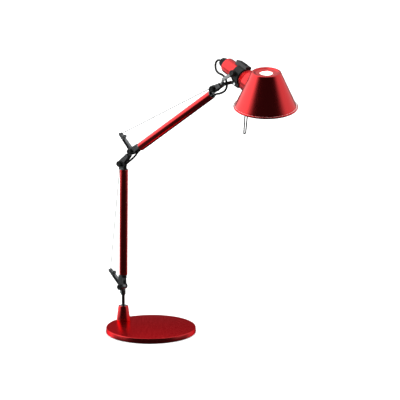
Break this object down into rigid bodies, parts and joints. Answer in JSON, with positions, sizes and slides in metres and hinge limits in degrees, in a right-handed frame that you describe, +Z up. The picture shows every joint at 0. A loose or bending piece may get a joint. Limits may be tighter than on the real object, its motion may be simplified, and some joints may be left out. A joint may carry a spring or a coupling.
{
  "type": "balanced-arm desk lamp",
  "caption": "Desk lamp with a weighted round base, a swivelling stem, two spring-balanced tube arms, a forked wrist and a tilting, turning conical shade",
  "frame": {"origin": "centre of the round base's underside", "axes": "+Z up, +X from the stem towards the lamp head in the rest pose, arms moving in the XZ plane, millimetres in the source and metres in the row"},
  "size_m": [0.4351, 0.17, 0.53],
  "materials": {
    "red_anodised": "glossy",
    "cast_grey": "satin",
    "black_plastic": "matte",
    "switch_plastic": "glossy",
    "bright_steel": "polished",
    "grey_iron": "rough",
    "black_rubber": "matte",
    "cable_rubber": "satin",
    "opal_glass": "opal",
    "cap_metal": "satin"
  },
  "bodies": {
    "base": {"base_pad": "black_rubber", "base_weight": "grey_iron", "base_cover": "red_anodised", "base_screws": "bright_steel", "base_hub": "red_anodised", "hub_bush": "black_plastic"},
    "stem": {"stem_rod": "bright_steel", "stem_head": "cast_grey", "lower_wire_pin": "bright_steel"},
    "lower_arm": {"lower_foot": "cast_grey", "lower_tube": "red_anodised", "lower_head": "cast_grey", "lower_guide": "black_plastic", "lower_spring": "bright_steel", "lower_anchor": "bright_steel", "lower_tension_wire": "bright_steel", "lower_pivot_pin": "bright_steel", "lower_pivot_caps": "black_plastic", "lower_cable_run": "cable_rubber", "cable_inlet": "black_rubber", "elbow_lock_pin": "bright_steel", "elbow_lock_caps": "black_plastic", "elbow_cable_lower": "cable_rubber"},
    "elbow": {"elbow_link": "cast_grey", "upper_wire_pin": "bright_steel"},
    "upper_arm": {"upper_foot": "cast_grey", "upper_tube": "red_anodised", "upper_head": "cast_grey", "upper_guide": "black_plastic", "upper_spring": "bright_steel", "upper_anchor": "bright_steel", "upper_tension_wire": "bright_steel", "elbow_pivot_pin": "bright_steel", "elbow_pivot_caps": "black_plastic", "upper_cable_run": "cable_rubber", "wrist_pivot_pin": "bright_steel", "wrist_pivot_caps": "black_plastic", "elbow_cable_upper": "cable_rubber"},
    "fork": {"wrist_fork": "cast_grey", "wrist_cable": "cable_rubber"},
    "ring": {"tilt_ring": "black_plastic", "clamp_screw": "bright_steel", "tilt_screws": "bright_steel", "tilt_caps": "black_plastic", "switch_block": "switch_plastic", "head_cable": "cable_rubber"},
    "button": {"switch_button": "switch_plastic"},
    "head": {"lamp_holder": "red_anodised", "cable_gland": "black_plastic", "bulb_socket": "black_plastic", "bulb_cap": "cap_metal", "bulb_glass": "opal_glass", "shade": "red_anodised", "shade_neck": "red_anodised", "handle_wire": "bright_steel", "handle_bracket": "bright_steel"}
  },
  "joints": [
    {"name": "stem_swivel", "type": "hinge", "parent": "base", "child": "stem", "pos_m": [-0.0702, 0, 0.03], "axis": [0, 0, 1], "range_deg": [-175, 175]},
    {"name": "lower_arm_tilt", "type": "hinge", "parent": "stem", "child": "lower_arm", "pos_m": [-0.0724, 0, 0.0756], "axis": [0, 1, 0], "range_deg": [-12, 30], "deforming": ["lower_tension_wire"]},
    {"name": "elbow_lock", "type": "hinge", "parent": "lower_arm", "child": "elbow", "pos_m": [-0.07094, 0, 0.31431], "axis": [0, 1, 0], "range_deg": [-30, 20], "deforming": ["elbow_cable_lower"]},
    {"name": "upper_arm_tilt", "type": "hinge", "parent": "elbow", "child": "upper_arm", "pos_m": [-0.0441, 0, 0.34051], "axis": [0, 1, 0], "range_deg": [-40, 20], "deforming": ["upper_tension_wire", "elbow_cable_upper"]},
    {"name": "wrist_tilt", "type": "hinge", "parent": "upper_arm", "child": "fork", "pos_m": [0.15341, 0, 0.47458], "axis": [0, 1, 0], "range_deg": [-45, 40], "deforming": ["wrist_cable"]},
    {"name": "head_tilt", "type": "hinge", "parent": "fork", "child": "ring", "pos_m": [0.21165, 0, 0.50388], "axis": [0.1011, 0.9744, -0.201], "range_deg": [-25, 25], "deforming": ["head_cable"]},
    {"name": "head_turn", "type": "hinge", "parent": "ring", "child": "head", "pos_m": [0.21165, 0, 0.50388], "axis": [0.9152, -0.1703, -0.3654], "range_deg": [-120, 120]},
    {"name": "switch_press", "type": "slide", "parent": "ring", "child": "button", "axis": [-0.3902, -0.147, -0.9089], "range_m": [0, 0.001], "stiffness_N_per_m": 300}
  ]
}
